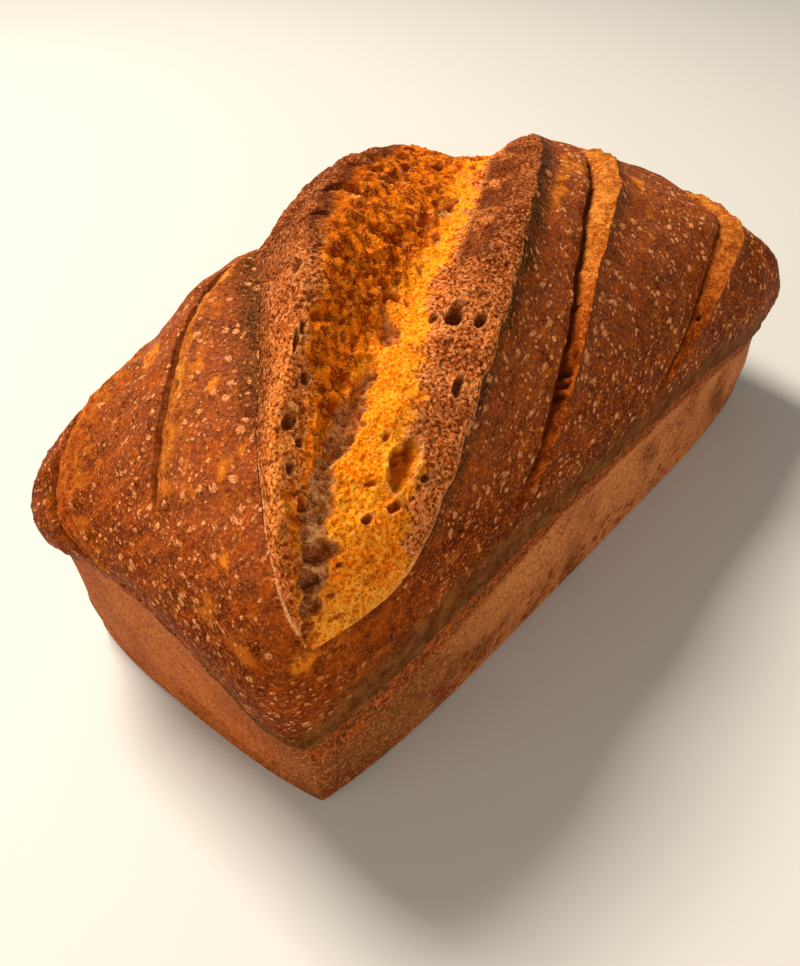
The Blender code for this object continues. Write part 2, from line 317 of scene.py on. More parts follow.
# knots of the burst's four lines: along the cut and across it, in millimetres
LEFT_KNOTS = ((0, SEAM), (8, -1.8), (17, -5.5), (28, -10.6), (40, -15.6), (54, -19.6), (68, -24),
              (90, -29.5), (112, -34), (150, -27), (178, -10), (192, SEAM))
SHOULDER_KNOTS = ((0, SEAM), (28, -5), (50, -10), (70, -12), (110, -15), (150, -12), (178, -4),
                  (192, SEAM))
VALLEY_KNOTS = ((0, SEAM), (14, 2), (38, 3), (60, 3.5), (88, 7), (130, 7), (170, 4), (192, SEAM))
RIDGE_KNOTS = ((0, SEAM), (6, 9), (14, 15), (28, 18.5), (54, 21.5), (75, 23), (110, 23), (150, 18),
               (178, 9), (192, SEAM))


def burst_line(knots, wander, size, seed):
    """One line of the burst as a function of the place along it."""
    def line(along):
        calm = arch(along / BURST_LENGTH, 0.5)
        return through(along, knots) + wander * calm * ragged(along, size, seed)
    return line


left_edge = burst_line(LEFT_KNOTS, 0.30, 9.0, 3.1)
shoulder = burst_line(SHOULDER_KNOTS, 0.8, 12.0, 7.7)
valley = burst_line(VALLEY_KNOTS, 0.8, 9.0, 1.9)
ridge = burst_line(RIDGE_KNOTS, 0.22, 9.0, 5.3)

# %% The burst's profile
SHOULDER_RISE = 11.9
VALLEY_RISE = 0.2
RIDGE_RISE = 4.6
EDGE_RISE = -1.0
PUFF_RISE = 1.4
PUFF_REACH = (12.0, 26.0)
RIDGE_FALL = (5.0, 14.0)


def burst_relief(along, across):
    """Height of the burst above the plain dome, in millimetres: puffed crust, crumb, crust again."""
    left, high_left, low, right = (line(along) for line in (left_edge, shoulder, valley, ridge))
    soft = arch(along / BURST_LENGTH, 0.5)
    strong = arch(along / BURST_LENGTH, 1.0)
    flank = 0.35 * SHOULDER_RISE + 0.65 * VALLEY_RISE
    face = 0.4 * VALLEY_RISE + 0.6 * RIDGE_RISE
    crust_left = bent(across, [
        (left - PUFF_REACH[1], 0 * soft),
        (left - PUFF_REACH[0], PUFF_RISE * strong),
        (left, EDGE_RISE * soft)])
    crumb = bent(across, [
        (left, EDGE_RISE * soft),
        (0.3 * left + 0.7 * high_left, 0.85 * SHOULDER_RISE * strong),
        (high_left, SHOULDER_RISE * strong),
        (0.5 * (high_left + low), flank * strong),
        (low, VALLEY_RISE * soft),
        (0.5 * (low + right), face * soft),
        (right, RIDGE_RISE * soft)])
    crust_right = bent(across, [
        (right, RIDGE_RISE * soft),
        (right + RIDGE_FALL[0], 0.2 * RIDGE_RISE * soft),
        (right + RIDGE_FALL[1], 0 * soft)])
    relief = np.where(across <= left, crust_left, np.where(across <= right, crumb, crust_right))
    return np.where((along > 0) & (along < BURST_LENGTH), relief, 0.0)


# For each lesser slash: the knots of its crack, where it starts and ends, knots of its width, the
# depth of the crack and rise of the lip, where the glow of its face starts and how far it takes, and
# whether the lip is gentle, with a face that fades into it.
SLASHES = (
    dict(crack=((0, -94), (25, -95), (54, -92), (67, -86), (77, -79), (95, -69)), ends=(8, 110),
         width=((8, 9), (35, 15.5), (64, 15.5), (82, 13), (110, 7)),
         depth=-1.2, lip=1.2, seed=11.3, glow=(20, 160), gentle=True),
    dict(crack=((20, -44), (34, -45.2), (60, -45.2), (80, -44.2), (97, -40.5), (125, -33)),
         ends=(30, 140), width=((30, 3), (50, 6), (65, 6), (85, 5), (140, 4)),
         depth=-1.9, lip=1.0, seed=17.9, glow=(10, 60), gentle=True),
    dict(crack=((20, 42), (40, 43.8), (64, 42.4), (95, 39), (119, 37), (150, 35), (190, 26)),
         ends=(20, 194),
         width=((20, 2.2), (45, 1.9), (75, 1.8), (90, 2.8), (107, 4.5), (144, 6.2), (190, 6.5)),
         depth=-3.4, lip=2.2, seed=23.7, glow=(62, 40), gentle=False),
    dict(crack=((70, 86), (92, 84), (108, 81), (124, 77.5), (141, 76), (175, 73)), ends=(72, 180),
         width=((72, 2), (85, 3.6), (100, 5.5), (115, 8), (125, 8.5), (140, 6.5), (175, 6)),
         depth=-1.8, lip=2.0, seed=31.1, glow=(88, 60), gentle=False),
)
LIP_FALL = 7.0
CRACK_SIDE = 0.8
THIN = 0.35


def strength(along, cut):
    """How open a slash is: 0 at its ends and 1 in the middle."""
    start, end = cut["ends"]
    return arch((along - start) / (end - start), 0.6)


def crack(along, cut):
    """The crack of a slash, across the cut, as a function of the place along it."""
    return through(along, cut["crack"]) + 0.18 * ragged(along, 7.0, cut["seed"])


def lip(along, cut):
    """The lip of a slash: as far from the crack as the torn face is wide."""
    width = through(along, cut["width"]) * smooth(3.0 * strength(along, cut))
    wander = 1 + 0.08 * ragged(along, 9.0, cut["seed"] + 2.0)
    return crack(along, cut) + THIN + width * wander


def slash_relief(along, across, cut):
    """Height of one lesser slash above the dome, in millimetres."""
    here = strength(along, cut)
    depth, rise = cut["depth"], cut["lip"]
    at = across - crack(along, cut)
    width = lip(along, cut) - crack(along, cut)
    zero = 0 * along
    fall = bent(at, [
        (zero - LIP_FALL, zero),
        (zero - CRACK_SIDE, 0.3 * depth * here),
        (zero, depth * here)])
    face = bent(at, [
        (zero, depth * here),
        (0.5 * width, 0.15 * (depth + 3 * rise) * here),
        (width, rise * here)])
    back = bent(at, [
        (width, rise * here),
        (width + 0.4 * LIP_FALL, 0.3 * rise * here),
        (width + LIP_FALL, zero)])
    return np.where(at <= 0, fall, np.where(at <= width, face, back))


# along, across, reach and rise of the broad swells and dents of the dome, in millimetres
SWELLS = ((96, -57, 13, -2.8), (107, -42, 9, 2.0), (151, 3, 13, -3.4), (178, 37, 8, -2.5),
          (51, -106, 22, 2.4))


def swell(along, across):
    """The unevenness of the dome between and beside the cuts."""
    return sum(rise * np.exp(-((along - x) ** 2 + (across - y) ** 2) / reach**2)
               for x, y, reach, rise in SWELLS)


def dome(along, across):
    """The slashed dome: the plain one moved along its normal by the burst and the slashes."""
    s, t = (np.clip(x, -1.0, 1.0) for x in on_sheet(along, across))
    step = 1e-3
    tangent_s = plain_dome(s + step, t) - plain_dome(s - step, t)
    tangent_t = plain_dome(s, t + step) - plain_dome(s, t - step)
    normal = np.cross(tangent_s, tangent_t)
    normal /= np.maximum(np.linalg.norm(normal, axis=-1, keepdims=True), 1e-12)
    relief = burst_relief(along, across) + sum(slash_relief(along, across, cut) for cut in SLASHES)
    relief = relief + swell(along, across)
    calm = smooth((1 - np.maximum(np.abs(s), np.abs(t))) / EDGE_CALM)
    return plain_dome(s, t) + normal * (relief * calm * MM)[..., None]


middle = np.array(75.0)
print("burst", BURST_LENGTH, "mm long,", round(float(ridge(middle) - left_edge(middle)), 1), "mm wide")

# %% [markdown]
# A sheet of crust starts as a grid, and its rows are drawn to run along the slashes, so that every
# crack, lip and ridge is a row of edges and stays sharp. A band is two lines with a number of rows
# between them. Each row is followed until it leaves the sheet, and the columns share out its length.

# %% Laying a grid along the slashes
SCAN_STEP = 0.25
SCAN = np.arange(-95.0, 325.0, SCAN_STEP)


def rows_of(bands):
    """Each row as two lines and its share of the way between them."""
    rows = [(a, b, k / n) for a, b, n in bands for k in range(n)]
    rows.append((bands[-1][0], bands[-1][1], 1.0))
    return rows


def lay_out(columns, bands):
    """Along and across of every grid point, by row and column."""
    u = np.linspace(0.0, 1.0, columns + 1)
    along = []
    across = []
    for a, b, f in rows_of(bands):
        far = np.abs(np.array(on_sheet(SCAN, a(SCAN) * (1 - f) + b(SCAN) * f))).max(axis=0)
        inside = np.flatnonzero(far <= 1.0)
        if len(inside) > 1:
            first, last = inside[0], inside[-1]
            start, end = SCAN[first], SCAN[last]
            if first > 0:
                start -= SCAN_STEP * (1 - far[first]) / (far[first - 1] - far[first])
            if last < len(SCAN) - 1:
                end += SCAN_STEP * (1 - far[last]) / (far[last + 1] - far[last])
        else:
            start = end = SCAN[np.argmin(far)]
        along.append(start + (end - start) * u)
        across.append(a(along[-1]) * (1 - f) + b(along[-1]) * f)
    return np.array(along), np.array(across)


def places(piece):
    """The places of all vertices of a piece."""
    flat = np.empty(len(piece.data.vertices) * 3)
    piece.data.vertices.foreach_get("co", flat)
    return flat.reshape(-1, 3)


def put(piece, points):
    """Move all vertices of a piece to their places."""
    piece.data.vertices.foreach_set("co", np.ascontiguousarray(points, np.float32).ravel())
    piece.data.update()


def new_grid(name, along, across):
    """A grid primitive with the rows of a layout, and each vertex's place along and across.

    Row 0 of the layout is at the top of the grid.
    """
    bpy.ops.object.select_all(action="DESELECT")
    rows, columns = along.shape
    bpy.ops.mesh.primitive_grid_add(x_subdivisions=columns - 1, y_subdivisions=rows - 1, size=2.0)
    piece = bpy.context.object
    piece.name = piece.data.name = name
    x, y = places(piece).T[:2]
    column = np.rint((x + 1) / 2 * (columns - 1)).astype(int)
    row = rows - 1 - np.rint((y + 1) / 2 * (rows - 1)).astype(int)
    return piece, along[row, column], across[row, column]

# %% Relief, paint and the closing steps of a piece
def normals(piece):
    """The piece's own vertex normals."""
    flat = np.empty(len(piece.data.vertices) * 3)
    piece.data.vertex_normals.foreach_get("vector", flat)
    return flat.reshape(-1, 3)


def raise_by(piece, points, relief):
    """Put the points of a piece, each moved along its normal by so many millimetres."""
    put(piece, points + normals(piece) * (relief * MM)[:, None])


def paint(piece, **numbers):
    """Store numbers from 0 to 1 on the vertices, which the material reads back by name."""
    for name, values in numbers.items():
        layer = piece.data.attributes.new(name, "FLOAT", "POINT")
        layer.data.foreach_set("value", np.ascontiguousarray(np.clip(values, 0, 1), np.float32))


def rough(points, size, seed):
    """Soft noise between about -1 and 1, with lumps of the given size in millimetres."""
    scaled = points / (size * MM) + seed
    return np.array([noise.noise(Vector(p)) for p in scaled.tolist()])


def layers(points, lumps):
    """Noise of several sizes added up: lumps gives the height, size and seed of each."""
    return sum(height * rough(points, size, seed) for height, size, seed in lumps)


def foam(points, size, seed):
    """Distance to the nearest bubble's centre, in bubble sizes."""
    scaled = points / (size * MM) + seed
    return np.array([noise.voronoi(Vector(p))[0][0] for p in scaled.tolist()])


def bubbles(along, across, size, stretch, seed, share, low, high):
    """Bowls of mixed sizes, 1 in the middle.

    Cells of a given size in millimetres are stretched along the cut. A share of them holds a bowl,
    with a radius between low and high cell sizes that is drawn from the cell's own centre.
    """
    cells = np.stack([along / (size * stretch) + seed, across / size - seed, 0 * along], -1)
    bowl = np.zeros(len(along))
    for i, place in enumerate(cells.tolist()):
        distances, centres = noise.voronoi(Vector(place))
        x, y, z = centres[0]
        lot = math.sin(x * 12.9898 + y * 78.233 + z * 37.719) * 43758.5453
        lot -= math.floor(lot)
        if lot < share:
            radius = low + (high - low) * lot / share
            bowl[i] = 1.0 - distances[0] / radius
    return smooth(2.2 * bowl)


def dress(piece, material):
    """Finish a piece: smooth shading, material, and its place in the frame."""
    bpy.ops.object.select_all(action="DESELECT")
    piece.select_set(True)
    bpy.context.view_layer.objects.active = piece
    bpy.ops.object.shade_smooth()
    piece.data.materials.clear()
    piece.data.materials.append(material)
    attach(piece, "root")
    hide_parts("loaf")
    count = sum(len(p.vertices) - 2 for p in piece.data.polygons)
    print(piece.name, count, "triangles")

# %% [markdown]
# The finishes are built from nodes. Their arithmetic is written as plain Python: a Wire stands for
# the output of a node, and adding or multiplying wires adds the Math nodes. A Finish is a material
# with one method that makes every other kind of node.

# %% Tools for the finishes
class Wire:
    """An output socket that can be used in sums."""

    def __init__(self, finish, socket):
        self.finish = finish
        self.socket = socket

    def sum(self, operation, a, b):
        return self.finish.node("ShaderNodeMath", {"operation": operation}, {0: a, 1: b})

    def __add__(self, other):
        return self.sum("ADD", self, other)

    def __radd__(self, other):
        return self.sum("ADD", other, self)

    def __sub__(self, other):
        return self.sum("SUBTRACT", self, other)

    def __rsub__(self, other):
        return self.sum("SUBTRACT", other, self)

    def __mul__(self, other):
        return self.sum("MULTIPLY", self, other)

    def __rmul__(self, other):
        return self.sum("MULTIPLY", other, self)

    def __truediv__(self, other):
        return self.sum("DIVIDE", self, other)


class Finish:
    """A material and the few ways in which it is built."""

    def __init__(self, name):
        self.material = bpy.data.materials.new(name)
        self.material.use_nodes = True
        self.tree = self.material.node_tree
        self.shader = self.tree.nodes["Principled BSDF"]
        self.place = self.node("ShaderNodeTexCoord", out="Object")

    def node(self, kind, settings=None, values=None, out=0):
        """Any node: its settings, the values or wires of its sockets, and the output to use."""
        made = self.tree.nodes.new(kind)
        for key, value in (settings or {}).items():
            if key == "stops":
                ramp = made.color_ramp
                while len(ramp.elements) < len(value):
                    ramp.elements.new(0.5)
                for element, (position, colour) in zip(ramp.elements, value):
                    element.position = position
                    element.color = (*colour, 1.0)
            else:
                setattr(made, key, value)
        for key, value in (values or {}).items():
            self.feed(made.inputs[key], value)
        return Wire(self, made.outputs[out])

    def feed(self, socket, value):
        """Link a wire to a socket, or set the socket's own value."""
        if isinstance(value, Wire):
            self.tree.links.new(value.socket, socket)
        else:
            socket.default_value = value

    def mix(self, factor, first, second):
        """Two colours mixed by a factor; each may be a wire or a plain colour."""
        first, second = (c if isinstance(c, Wire) else (*c, 1.0) for c in (first, second))
        return self.node("ShaderNodeMix", {"data_type": "RGBA"}, {0: factor, 6: first, 7: second},
                         out=2)

    def most(self, a, b):
        """The greater of two values."""
        return self.node("ShaderNodeMath", {"operation": "MAXIMUM"}, {0: a, 1: b})

    def shifted(self, by):
        """The place on the piece, moved by the same number along each axis."""
        return self.node("ShaderNodeVectorMath", {"operation": "ADD"}, {0: self.place, 1: (by,) * 3})

    def noise(self, size, detail=2.0, roughness=0.5, shift=0.0):
        """Soft noise from 0 to 1 with lumps of the given size in millimetres."""
        at = self.shifted(shift) if shift else self.place
        return self.node("ShaderNodeTexNoise", None, {
            "Vector": at, "Scale": 1.0 / (size * MM), "Detail": detail, "Roughness": roughness})

    def ramp(self, value, low, high):
        """0 below low, 1 above high, an even ramp between them."""
        return self.node("ShaderNodeMapRange", {"interpolation_type": "SMOOTHSTEP"},
                         {"Value": value, "From Min": low, "From Max": high})

    def read(self, name):
        """A number painted on the vertices."""
        return self.node("ShaderNodeAttribute", {"attribute_name": name}, out="Fac")

    def set(self, **values):
        """Values or wires for the shader's own sockets."""
        for key, value in values.items():
            self.feed(self.shader.inputs[key.replace("_", " ")], value)
        return self.material

    def bump(self, height, depth, strength=1.0):
        """A Bump node: height is 0 to 1, depth its size in millimetres."""
        return self.node("ShaderNodeBump", None,
                         {"Height": height, "Distance": depth * MM, "Strength": strength})

    def spots(self, size, low, high, share, shift=0.0):
        """Round spots in cells of a given size in millimetres.

        Each has its own radius, from low to high cell sizes, and only a share of the cells has one.
        """
        at = self.shifted(shift)
        warp = self.node("ShaderNodeTexNoise", None,
                         {"Vector": at, "Scale": 0.9 / (size * MM), "Detail": 0.0}, out="Color")
        push = self.node("ShaderNodeVectorMath", {"operation": "MULTIPLY_ADD"},
                         {0: warp, 1: (0.30 * size * MM,) * 3, 2: at})
        settings = {"feature": "F1", "distance": "EUCLIDEAN"}
        values = {"Vector": push, "Scale": 1.0 / (size * MM)}
        distance = self.node("ShaderNodeTexVoronoi", settings, values, out="Distance")
        colour = self.node("ShaderNodeTexVoronoi", settings, values, out="Color")
        red = self.node("ShaderNodeSeparateColor", None, {0: colour}, out="Red")
        green = Wire(self, red.socket.node.outputs["Green"])
        radius = low + (high - low) * red
        there = self.ramp(green, 1 - share, 1 - share + 0.02)
        return (1 - self.ramp(distance / radius, 0.55, 1.0)) * there


def srgb(r, g, b):
    """A colour given 0 to 255, as the linear colour that nodes use."""
    values = []
    for c in (r, g, b):
        c = c / 255.0
        values.append(c / 12.92 if c <= 0.04045 else ((c + 0.055) / 1.055) ** 2.4)
    return tuple(values)

# %% [markdown]
# The dome's crust went from dough to a deep red brown. It is darkest on the backs of the ridge and
# of the lips, partly burned where it stood up and dried first and partly painted shade where it
# falls away from the light, and in a grey brown band just above the tin, partly its own colour and
# partly painted shade of the overhanging flank. The higher crust is painted paler, a painted sheen.
# The browns are mixed by noise at several sizes, then by what the vertices carry. Small pale
# blisters lie on top, duller than the crust and raised; their pale tops are partly painted
# highlights. The torn faces of the slashes are paler and grained, so they get colours of their
# own, and one number on the vertices blends the two.

# %% Browns of the dome's crust
def crust_browns(f, mottle, speck, fine, sleek, band):
    """Red browns with a painted sheen high up, specks, golden flakes, dark backs and the grey band."""
    patches = f.noise(24.0, detail=3.0, roughness=0.6)
    dry = 1 - 0.5 * sleek
    base = f.mix(f.ramp(patches, 0.36, 0.64), srgb(94, 28, 0), srgb(118, 44, 2))
    # A painted sheen: the higher crust is painted paler.
    base = f.mix(f.read("high") * 0.55, base, srgb(150, 78, 46))
    smooth_brown = f.mix(f.ramp(mottle, 0.35, 0.65), srgb(96, 36, 2), srgb(156, 66, 4))
    base = f.mix(sleek * 0.7, base, smooth_brown)
    base = f.mix(f.ramp(mottle, 0.50, 0.64) * 0.60, base, srgb(168, 72, 8))
    base = f.mix(f.ramp(mottle, 0.47, 0.34) * 0.60, base, srgb(64, 18, 0))
    base = f.mix(f.ramp(speck, 0.54, 0.63) * 0.60 * dry, base, srgb(214, 114, 36))
    base = f.mix(f.ramp(speck, 0.45, 0.36) * 0.65 * dry, base, srgb(44, 10, 0))
    base = f.mix(f.ramp(fine, 0.52, 0.66) * 0.15, base, srgb(226, 140, 70))
    flake = f.ramp(mottle + 0.6 * speck, 0.66, 0.86)
    golden = f.mix(flake, srgb(168, 78, 6), srgb(216, 120, 30))
    base = f.mix(f.read("gold") * (0.35 + 0.65 * flake), base, golden)
    # Dark backs of the ridge and lips, the crack sides and the end's lip: partly burned crust, partly
    # painted shade.
    scorched_and_shaded = f.mix(f.ramp(speck, 0.42, 0.60), srgb(46, 22, 4), srgb(120, 70, 28))
    base = f.mix(f.read("scorch"), base, scorched_and_shaded)
    # The grey brown band: partly the crust's own colour, partly painted shade of the overhanging
    # flank.
    grey_brown = f.mix(f.ramp(mottle, 0.30, 0.70), srgb(84, 52, 20), srgb(130, 84, 42))
    return f.mix(band * f.ramp(speck + mottle, 0.70, 1.10) * 0.9, base, grey_brown)


def blister_mask(f, few, plain):
    """Blisters of two sizes in cells, and the raised ones that the vertices carry."""
    large = f.spots(3.3, low=0.14, high=0.36, share=0.65)
    small = f.spots(1.8, low=0.18, high=0.42, share=0.70, shift=0.31)
    dense = f.ramp(f.noise(13.0, detail=2.0, roughness=0.5, shift=2.1), 0.36, 0.60)
    in_cells = f.most(large, small * (0.25 + 0.75 * dense)) * few * plain
    return f.most(in_cells, f.read("blister") * few * 0.9)


def blistered(f, base, spot, few, plain, speck, fine):
    """The base with a dark halo and pale top per blister, and single pale dots, partly painted
    highlights.
    """
    halo = f.ramp(spot, 0.02, 0.30) * (1 - f.ramp(spot, 0.30, 0.75))
    base = f.mix(halo * 0.30, base, srgb(92, 34, 4))
    bright = f.mix(f.ramp(fine, 0.40, 0.62), srgb(200, 106, 50), srgb(244, 172, 112))
    highlight_top = f.mix(f.ramp(fine, 0.36, 0.56), srgb(222, 120, 58), srgb(250, 180, 116))
    # Painted highlight: on the dimmer crust right of the burst the blister tops are lighter still.
    top = f.mix(f.read("dim"), bright, highlight_top)
    base = f.mix(f.ramp(spot, 0.10, 0.70) * f.ramp(speck, 0.26, 0.54) * 0.85, base, top)
    # The pale dots are partly the crust's own pale specks, partly painted highlights.
    dots = f.spots(1.1, low=0.14, high=0.36, share=0.30, shift=0.83)
    return f.mix(dots * few * plain * 0.6, base, srgb(236, 156, 92))

# %% Colours of the torn faces, and the crust's whole finish
def torn_face(f, mottle, grain):
    """Golden brown where the face glows and red brown where it doesn't, with dark and pale grain."""
    coarse = f.ramp(f.noise(3.0, detail=3.0, roughness=0.6, shift=4.1), 0.40, 0.60)
    glowing = f.mix(coarse, srgb(176, 88, 24), srgb(216, 132, 52))
    dark = f.mix(coarse, srgb(140, 52, 6), srgb(190, 86, 22))
    colour = f.mix(f.read("glow"), dark, glowing)
    colour = f.mix(f.ramp(mottle, 0.52, 0.42) * 0.45, colour, srgb(150, 66, 12))
    colour = f.mix(f.ramp(grain, 0.48, 0.36) * 0.7, colour, srgb(112, 42, 2))
    # Dark spots on the face: painted shade in its small holes.
    bubbly = f.spots(1.3, low=0.14, high=0.42, share=0.50, shift=0.57)
    colour = f.mix(bubbly * 0.75, colour, srgb(116, 44, 4))
    return f.mix(f.ramp(grain, 0.55, 0.67) * 0.45, colour, srgb(244, 166, 84))


def crust_finish():
    """The dome's crust: browns, then blisters, then torn faces, and pits and cracks in painted shade.
    """
    f = Finish("dome_crust")
    torn, band, sleek = f.read("torn"), f.read("band"), f.read("sleek")
    mottle = f.noise(4.0, detail=4.0, roughness=0.7, shift=0.7)
    speck = f.noise(0.8, detail=3.0, roughness=0.8, shift=1.3)
    fine = f.noise(0.35, detail=1.0, roughness=0.5, shift=5.1)
    grain = f.noise(0.8, detail=3.0, roughness=0.7, shift=3.3)
    few = (1 - 0.75 * band) * (1 - 0.7 * sleek)
    plain = 1 - torn
    spot = blister_mask(f, few, plain)
    base = crust_browns(f, mottle, speck, fine, sleek, band)
    base = blistered(f, base, spot, few, plain, speck, fine)
    base = f.mix(torn, base, torn_face(f, mottle, grain))
    # Painted shade: the holes in the slashes' faces and the cracks are darkened.
    base = f.mix(f.read("pit"), base, srgb(78, 28, 4))
    height = (spot * 0.5 + speck * 0.5 + mottle * 0.5) * plain + torn * grain * 1.4
    return f.set(Base_Color=base, Roughness=0.42 + 0.25 * spot + 0.30 * torn + 0.12 * band,
                 Normal=f.bump(height, 0.5), Specular_IOR_Level=0.01)


crust = crust_finish()
print(crust.name, len(crust.node_tree.nodes), "nodes")

# %% [markdown]
# The crumb that the burst laid bare browned last, so it is golden deep in the tear and pink brown
# near the crust. It is a foam: thin walls round small holes, with the torn floor of the valley grey
# brown. Pale specks where the walls catch the light are painted highlights, and the holes and the
# fissure are darkened with painted shade, as is the crumb near the crust. Vertices carry how golden,
# how torn, how shaded and how deep each place is, and where the amber strands lie that the numbers
# call fibre.

# %% Finish of the burst's crumb
def crumb_finish():
    """Golden or brown crumb, amber strands, grey brown floor, holes in painted shade, painted
    highlights.
    """
    f = Finish("burst_crumb")
    gold, fibre, torn, dusk = (f.read(name) for name in ("gold", "fibre", "torn", "dusk"))
    grain = f.noise(0.78, detail=2.5, roughness=0.68)
    curl = f.noise(2.3, detail=4.0, roughness=0.7, shift=0.9)
    cloud = f.ramp(f.noise(7.0, detail=3.0, roughness=0.6, shift=1.9), 0.38, 0.62)
    # Painted shade in the crumb's small holes.
    shaded_pores = f.spots(1.25, low=0.14, high=0.40, share=0.65, shift=0.47)
    # Painted highlights: pale specks where the cell walls catch the light.
    highlight_specks = f.spots(1.0, low=0.14, high=0.36, share=0.42, shift=0.13)
    calm = 1 - 0.6 * fibre
    brown = f.mix(cloud, srgb(180, 84, 26), srgb(214, 116, 50))
    # Painted shade darkens the brown crumb near the crust and on the shoulder.
    brown = f.mix(dusk, brown, f.mix(cloud, srgb(98, 42, 10), srgb(140, 66, 24)))
    bright = f.mix(cloud, srgb(255, 132, 4), srgb(255, 156, 20))
    amber = f.mix(f.ramp(curl, 0.42, 0.58), srgb(124, 38, 0), srgb(224, 112, 6))
    grey_brown = f.mix(f.ramp(curl, 0.42, 0.60), srgb(118, 76, 40), srgb(222, 162, 106))
    base = f.mix(gold, brown, bright)
    base = f.mix(fibre, base, amber)
    base = f.mix(torn, base, grey_brown)
    # each pair below is the colour on brown crumb and on golden crumb
    base = f.mix(f.ramp(grain, 0.48, 0.39) * 0.90 * calm, base,
                 f.mix(gold, srgb(84, 30, 0), srgb(214, 88, 0)))
    base = f.mix(f.ramp(grain, 0.53, 0.62) * 0.8 * (1 - 0.5 * torn) * (1 - 0.55 * dusk) * calm, base,
                 f.mix(gold, srgb(240, 160, 100), srgb(255, 178, 64)))
    base = f.mix(shaded_pores * (0.75 - 0.45 * gold) * calm, base,
                 f.mix(gold, srgb(96, 36, 4), srgb(190, 78, 0)))
    base = f.mix(highlight_specks * 0.75 * (1 - shaded_pores) * (1 - 0.5 * dusk) * calm, base,
                 f.mix(gold, srgb(236, 168, 112), srgb(255, 174, 62)))
    # Painted shade: the dark colour of the bowls, caves, pocks and the fissure, which also darkens the
    # smoked patches.
    base = f.mix(f.read("pit"), base, f.mix(gold, srgb(88, 36, 10), srgb(158, 60, 0)))
    base = f.mix(f.read("rim") * f.ramp(curl, 0.40, 0.60) * 0.8, base, srgb(240, 176, 108))
    height = grain + curl * 0.8 - shaded_pores * 0.5 + highlight_specks * 0.4
    return f.set(Base_Color=base, Roughness=0.78, Normal=f.bump(height, 0.7),
                 Specular_IOR_Level=0.03)


crumb = crumb_finish()
print(crumb.name, len(crumb.node_tree.nodes), "nodes")

# %% [markdown]
# Where the dough lay against the tin it baked by contact, without drying: an even, matt salmon
# brown, fine grained, with little pits where fat or bubbles stood against the metal.

# %% Finish of the tin-baked crust
def tin_finish():
    """Matt salmon brown with darker flecks, pale grain and reddish pits."""
    f = Finish("tin_baked_crust")
    pit = f.read("pit")
    patches = f.noise(22.0, detail=3.0, roughness=0.55)
    grain = f.noise(0.75, detail=2.5, roughness=0.65, shift=0.5)
    flecks = f.noise(2.4, detail=3.0, roughness=0.65, shift=1.1)
    patchy = f.ramp(patches, 0.38, 0.62)
    dust = f.spots(1.6, low=0.16, high=0.42, share=0.62, shift=0.21)
    base = f.mix(patchy, srgb(108, 56, 18), srgb(136, 78, 34))
    # The end wall: partly its own warmer colour, partly painted light, and painted shade near the
    # front corner.
    base = f.mix(f.read("warm"), base, f.mix(patchy, srgb(160, 74, 16), srgb(186, 98, 34)))
    base = f.mix(f.read("pale") * f.ramp(patches, 0.30, 0.56), base, srgb(216, 134, 74))
    mottled = f.mix(f.ramp(flecks, 0.44, 0.58), srgb(96, 46, 10), srgb(172, 76, 12))
    base = f.mix(f.ramp(f.read("rim") + 0.5 * flecks, 0.45, 0.95), base, mottled)
    base = f.mix(f.ramp(flecks, 0.54, 0.64) * 0.5, base, srgb(156, 60, 14))
    base = f.mix(dust * 0.8, base, srgb(122, 38, 6))
    base = f.mix(f.ramp(grain, 0.53, 0.62) * 0.55, base, srgb(222, 140, 74))
    base = f.mix(f.ramp(grain, 0.47, 0.38) * 0.70, base, srgb(112, 46, 12))
    ring = f.ramp(pit, 0.05, 0.45) * (1 - 0.45 * f.ramp(pit, 0.55, 0.95))
    base = f.mix(ring * 0.9, base, srgb(138, 48, 10))
    height = grain * 0.6 + flecks * 0.5 - dust * 0.4
    return f.set(Base_Color=base, Roughness=0.7, Normal=f.bump(height, 0.3, 0.8),
                 Specular_IOR_Level=0.06)


tin_baked = tin_finish()
print(tin_baked.name, len(tin_baked.node_tree.nodes), "nodes")

# %% [markdown]
# The tin-baked shell is the easiest form: a ring of wall round a flat base. A cylinder is added with
# one vertex for every 0.6 millimetres or so of the outline, its top is deleted, and its upright
# edges are subdivided into rows. Then each vertex goes to its place on the leaning wall. The bottom
# rows round off the edge of the base, and the top row tucks in under the crust of the dome.

# %% The tin-baked shell
ROUND = 1080
WALL_ROWS = 70
# how the square sheet's edge, 4 long, is shared out to the long and the short sides
LONG_SHARE, SHORT_SHARE = 1.42, 0.58
FOOT_RISE = 0.8 * BASE_ROUND
FOOT_EDGE = 0.3 * BASE_ROUND
TUCK = 0.8 * MM
TUCK_RISE = 0.6 * MM


